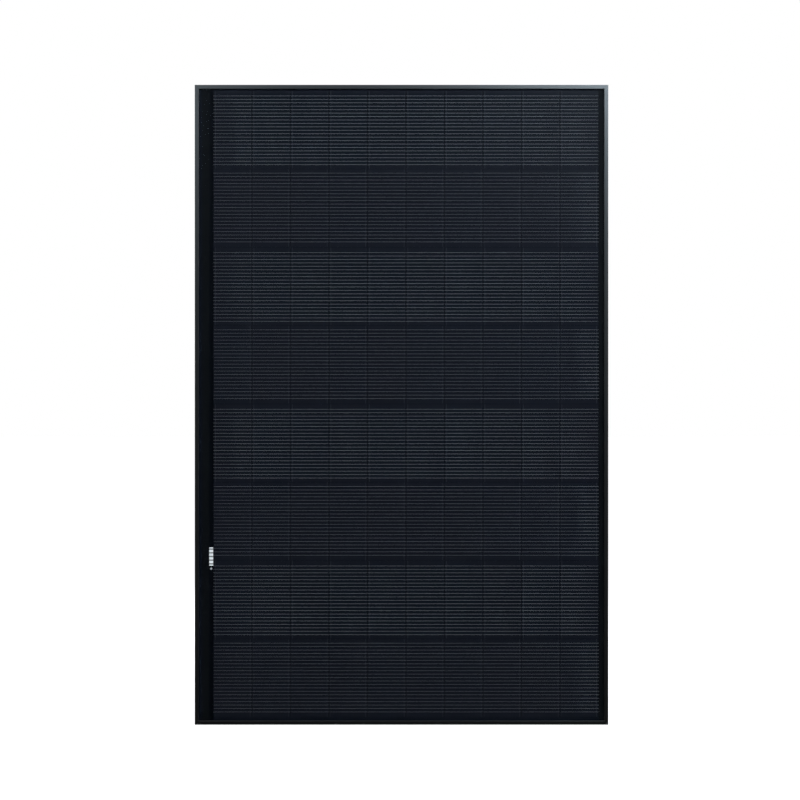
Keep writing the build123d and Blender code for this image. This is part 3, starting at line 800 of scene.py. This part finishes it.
world = bpy.data.worlds.new("studio")
world.use_nodes = True
bpy.context.scene.world = world
tree = world.node_tree
seen = tree.nodes["Background"]
seen.inputs["Color"].default_value = (1, 1, 1, 1)
axes = add_node(tree, "SeparateXYZ", {0: add_node(tree, "TexCoord").outputs["Generated"]}).outputs
upward = soft_step(tree, axes["Z"], OVERHEAD_FROM, OVERHEAD_FULL)
overhead = work_out(tree, "MULTIPLY", upward, ROOM_OVERHEAD)
backward = soft_step(tree, axes["Y"], BEHIND_FROM, BEHIND_FULL)
behind = work_out(tree, "MULTIPLY", backward, ROOM_BEHIND)
strength = work_out(tree, "ADD", work_out(tree, "ADD", overhead, behind), ROOM_DIM)
room = add_node(tree, "Background", {"Color": (1, 1, 1, 1), "Strength": strength})
ray = add_node(tree, "LightPath")
split = add_node(
    tree,
    "MixShader",
    {0: ray.outputs["Is Camera Ray"], 1: room.outputs[0], 2: seen.outputs[0]},
)
tree.links.new(split.outputs[0], tree.nodes["World Output"].inputs["Surface"])
brightening = (ROOM_DIM + ROOM_OVERHEAD) / ROOM_DIM
print(f"the room is {brightening:.0f} times as bright overhead as in front")

# %% [markdown]
# The floor is one large disc just under the panel's foot. It glows a little, so that it stays as pale
# as the backdrop and only the softest shadow is left where the frame stands on it. It is kept out of
# mirror rays, as a black cloth on the floor would do in a real studio.

# %% Floor
FLOOR_RADIUS = 40.0
FLOOR_GREY = 0.5
FLOOR_GLOW = 0.86
FLOOR_SIDES = 96

ground = bmesh.new()
bmesh.ops.create_circle(
    ground,
    cap_ends=True,
    segments=FLOOR_SIDES,
    radius=FLOOR_RADIUS,
    matrix=Matrix.Translation((0, 0, cad_low.z)),
)
floor_mesh = bpy.data.meshes.new("floor")
ground.to_mesh(floor_mesh)
ground.free()
floor = bpy.data.objects.new("floor", floor_mesh)
bpy.context.scene.collection.objects.link(floor)
pale, _, shader = new_finish("pale_floor", Roughness=0.9, Emission_Strength=FLOOR_GLOW)
shader.inputs["Base Color"].default_value = (FLOOR_GREY, FLOOR_GREY, FLOOR_GREY, 1)
shader.inputs["Emission Color"].default_value = (1, 1, 1, 1)
floor_mesh.materials.append(pale)
floor.visible_glossy = False
print(f"floor at z = {cad_low.z:.3f} m")

# %% [markdown]
# Softboxes are area lights. Each is placed by the point where it stands and aimed at a point on the
# panel. Two stand high in front, just outside what the glass would mirror towards the camera, the
# right one far stronger, so the frame is brightest at its top right corner and falls into darkness at
# its foot. Two stand well out to the sides, where the flat glass cannot mirror them, and light the
# cells evenly. The last two stand low behind, so that the back can be seen without a glare on the top.


# %% Softboxes
def softbox(name, stand, aim, width, height, power, colour=(1.0, 1.0, 1.0)):
    """A soft rectangular light at one point, facing another."""
    light = bpy.data.lights.new(name, "AREA")
    light.shape = "RECTANGLE"
    light.size = width
    light.size_y = height
    light.energy = power
    light.color = colour
    lamp = bpy.data.objects.new(name, light)
    lamp.location = stand
    lamp.rotation_euler = (Vector(aim) - Vector(stand)).to_track_quat("-Z", "Y").to_euler()
    lamp.visible_camera = False
    bpy.context.scene.collection.objects.link(lamp)


COOL = (0.74, 0.89, 1.0)
# Each line gives a name, the stand, the aim, the width and height in metres, the watts and a colour.
softbox("high_right", (1.5, -2.6, 1.94), (0.3, 0, 0.5), 1.6, 0.5, 92, COOL)
softbox("high_left", (-1.4, -2.6, 1.65), (-0.3, 0, 0.5), 1.4, 1.4, 12, COOL)
softbox("side_right", (4.2, -3.0, 1.8), (0, 0, -0.1), 2.2, 1.6, 130)
softbox("side_left", (-4.2, -3.0, 1.8), (0, 0, -0.1), 2.2, 1.6, 78)
softbox("back_right", (-2.4, 2.8, 0.1), (0, 0, 0), 1.8, 1.2, 55)
softbox("back_left", (2.7, 2.4, 0.1), (0, 0, 0), 1.4, 1.2, 35)
lights = [thing for thing in bpy.context.scene.objects if thing.type == "LIGHT"]
print("softboxes:", len(lights))

# %% [markdown]
# The camera looks straight at the glass from in front. Its distance follows from the lens and from
# how wide a strip of the panel's front plane the picture holds. It stands a little to the left of the
# panel's middle and a little above it.

# %% Camera
VIEW_WIDTH = 2.1625
LENS = 85.0
CAMERA_LEFT = 4.1 * MM
CAMERA_UP = 13.0 * MM

camera_data = bpy.data.cameras.new("camera")
camera_data.lens = LENS
camera_data.clip_end = 200.0
distance = VIEW_WIDTH * LENS / camera_data.sensor_width
camera = bpy.data.objects.new("camera", camera_data)
middle = (cad_low + cad_high) / 2
camera.location = (middle.x - CAMERA_LEFT, cad_low.y - distance, middle.z + CAMERA_UP)
camera.rotation_euler = (math.radians(90), 0, 0)
bpy.context.scene.collection.objects.link(camera)
bpy.context.scene.camera = camera
bpy.context.scene.view_settings.view_transform = "Standard"
print(f"camera {distance:.3f} m in front of the glass")
